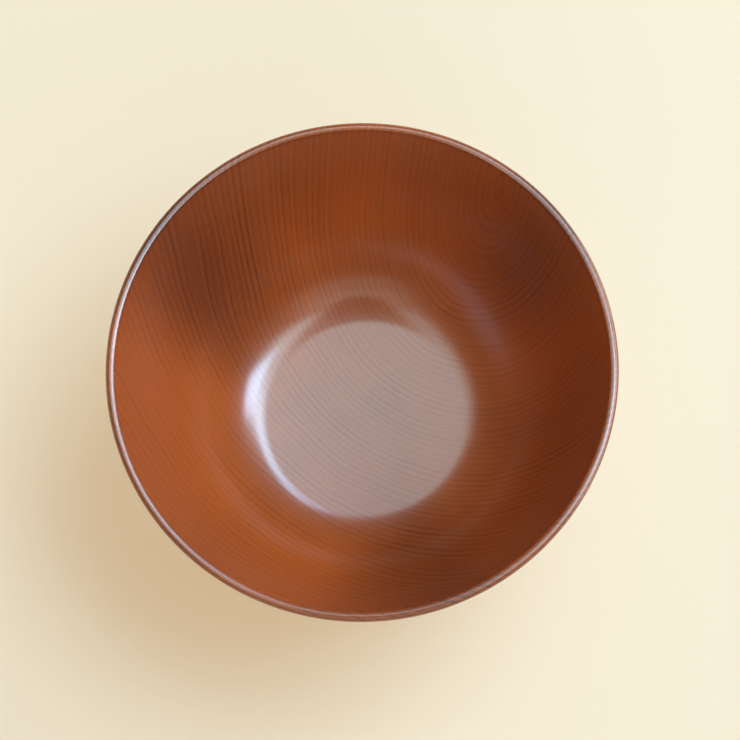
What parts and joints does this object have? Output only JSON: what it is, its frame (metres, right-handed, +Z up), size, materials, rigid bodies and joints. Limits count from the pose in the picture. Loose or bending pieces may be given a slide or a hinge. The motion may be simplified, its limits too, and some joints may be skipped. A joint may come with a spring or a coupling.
{
  "type": "soup bowl with lid",
  "caption": "Turned wooden soup bowl on a foot ring, deep and round with a thin lip, with a domed lid that has a ring knob and sits inside the lip.",
  "frame": {"origin": "on the table, at the middle of the footprint of the open bowl and the lid set down beside it", "axes": "+X from the bowl to the lid, +Z up along both turning axes"},
  "size_m": [0.2942, 0.12, 0.069],
  "materials": {
    "lacquered_wood": "brown stain under a clear satin-gloss lacquer, grain showing through"
  },
  "bodies": {
    "bowl": {"bowl": "lacquered_wood"},
    "lid": {"lid": "lacquered_wood"}
  },
  "joints": [
    {"name": "lid_lift", "type": "slide", "parent": "bowl", "child": "lid", "axis": [0, 0, 1], "range_m": [0, 0.08]}
  ]
}
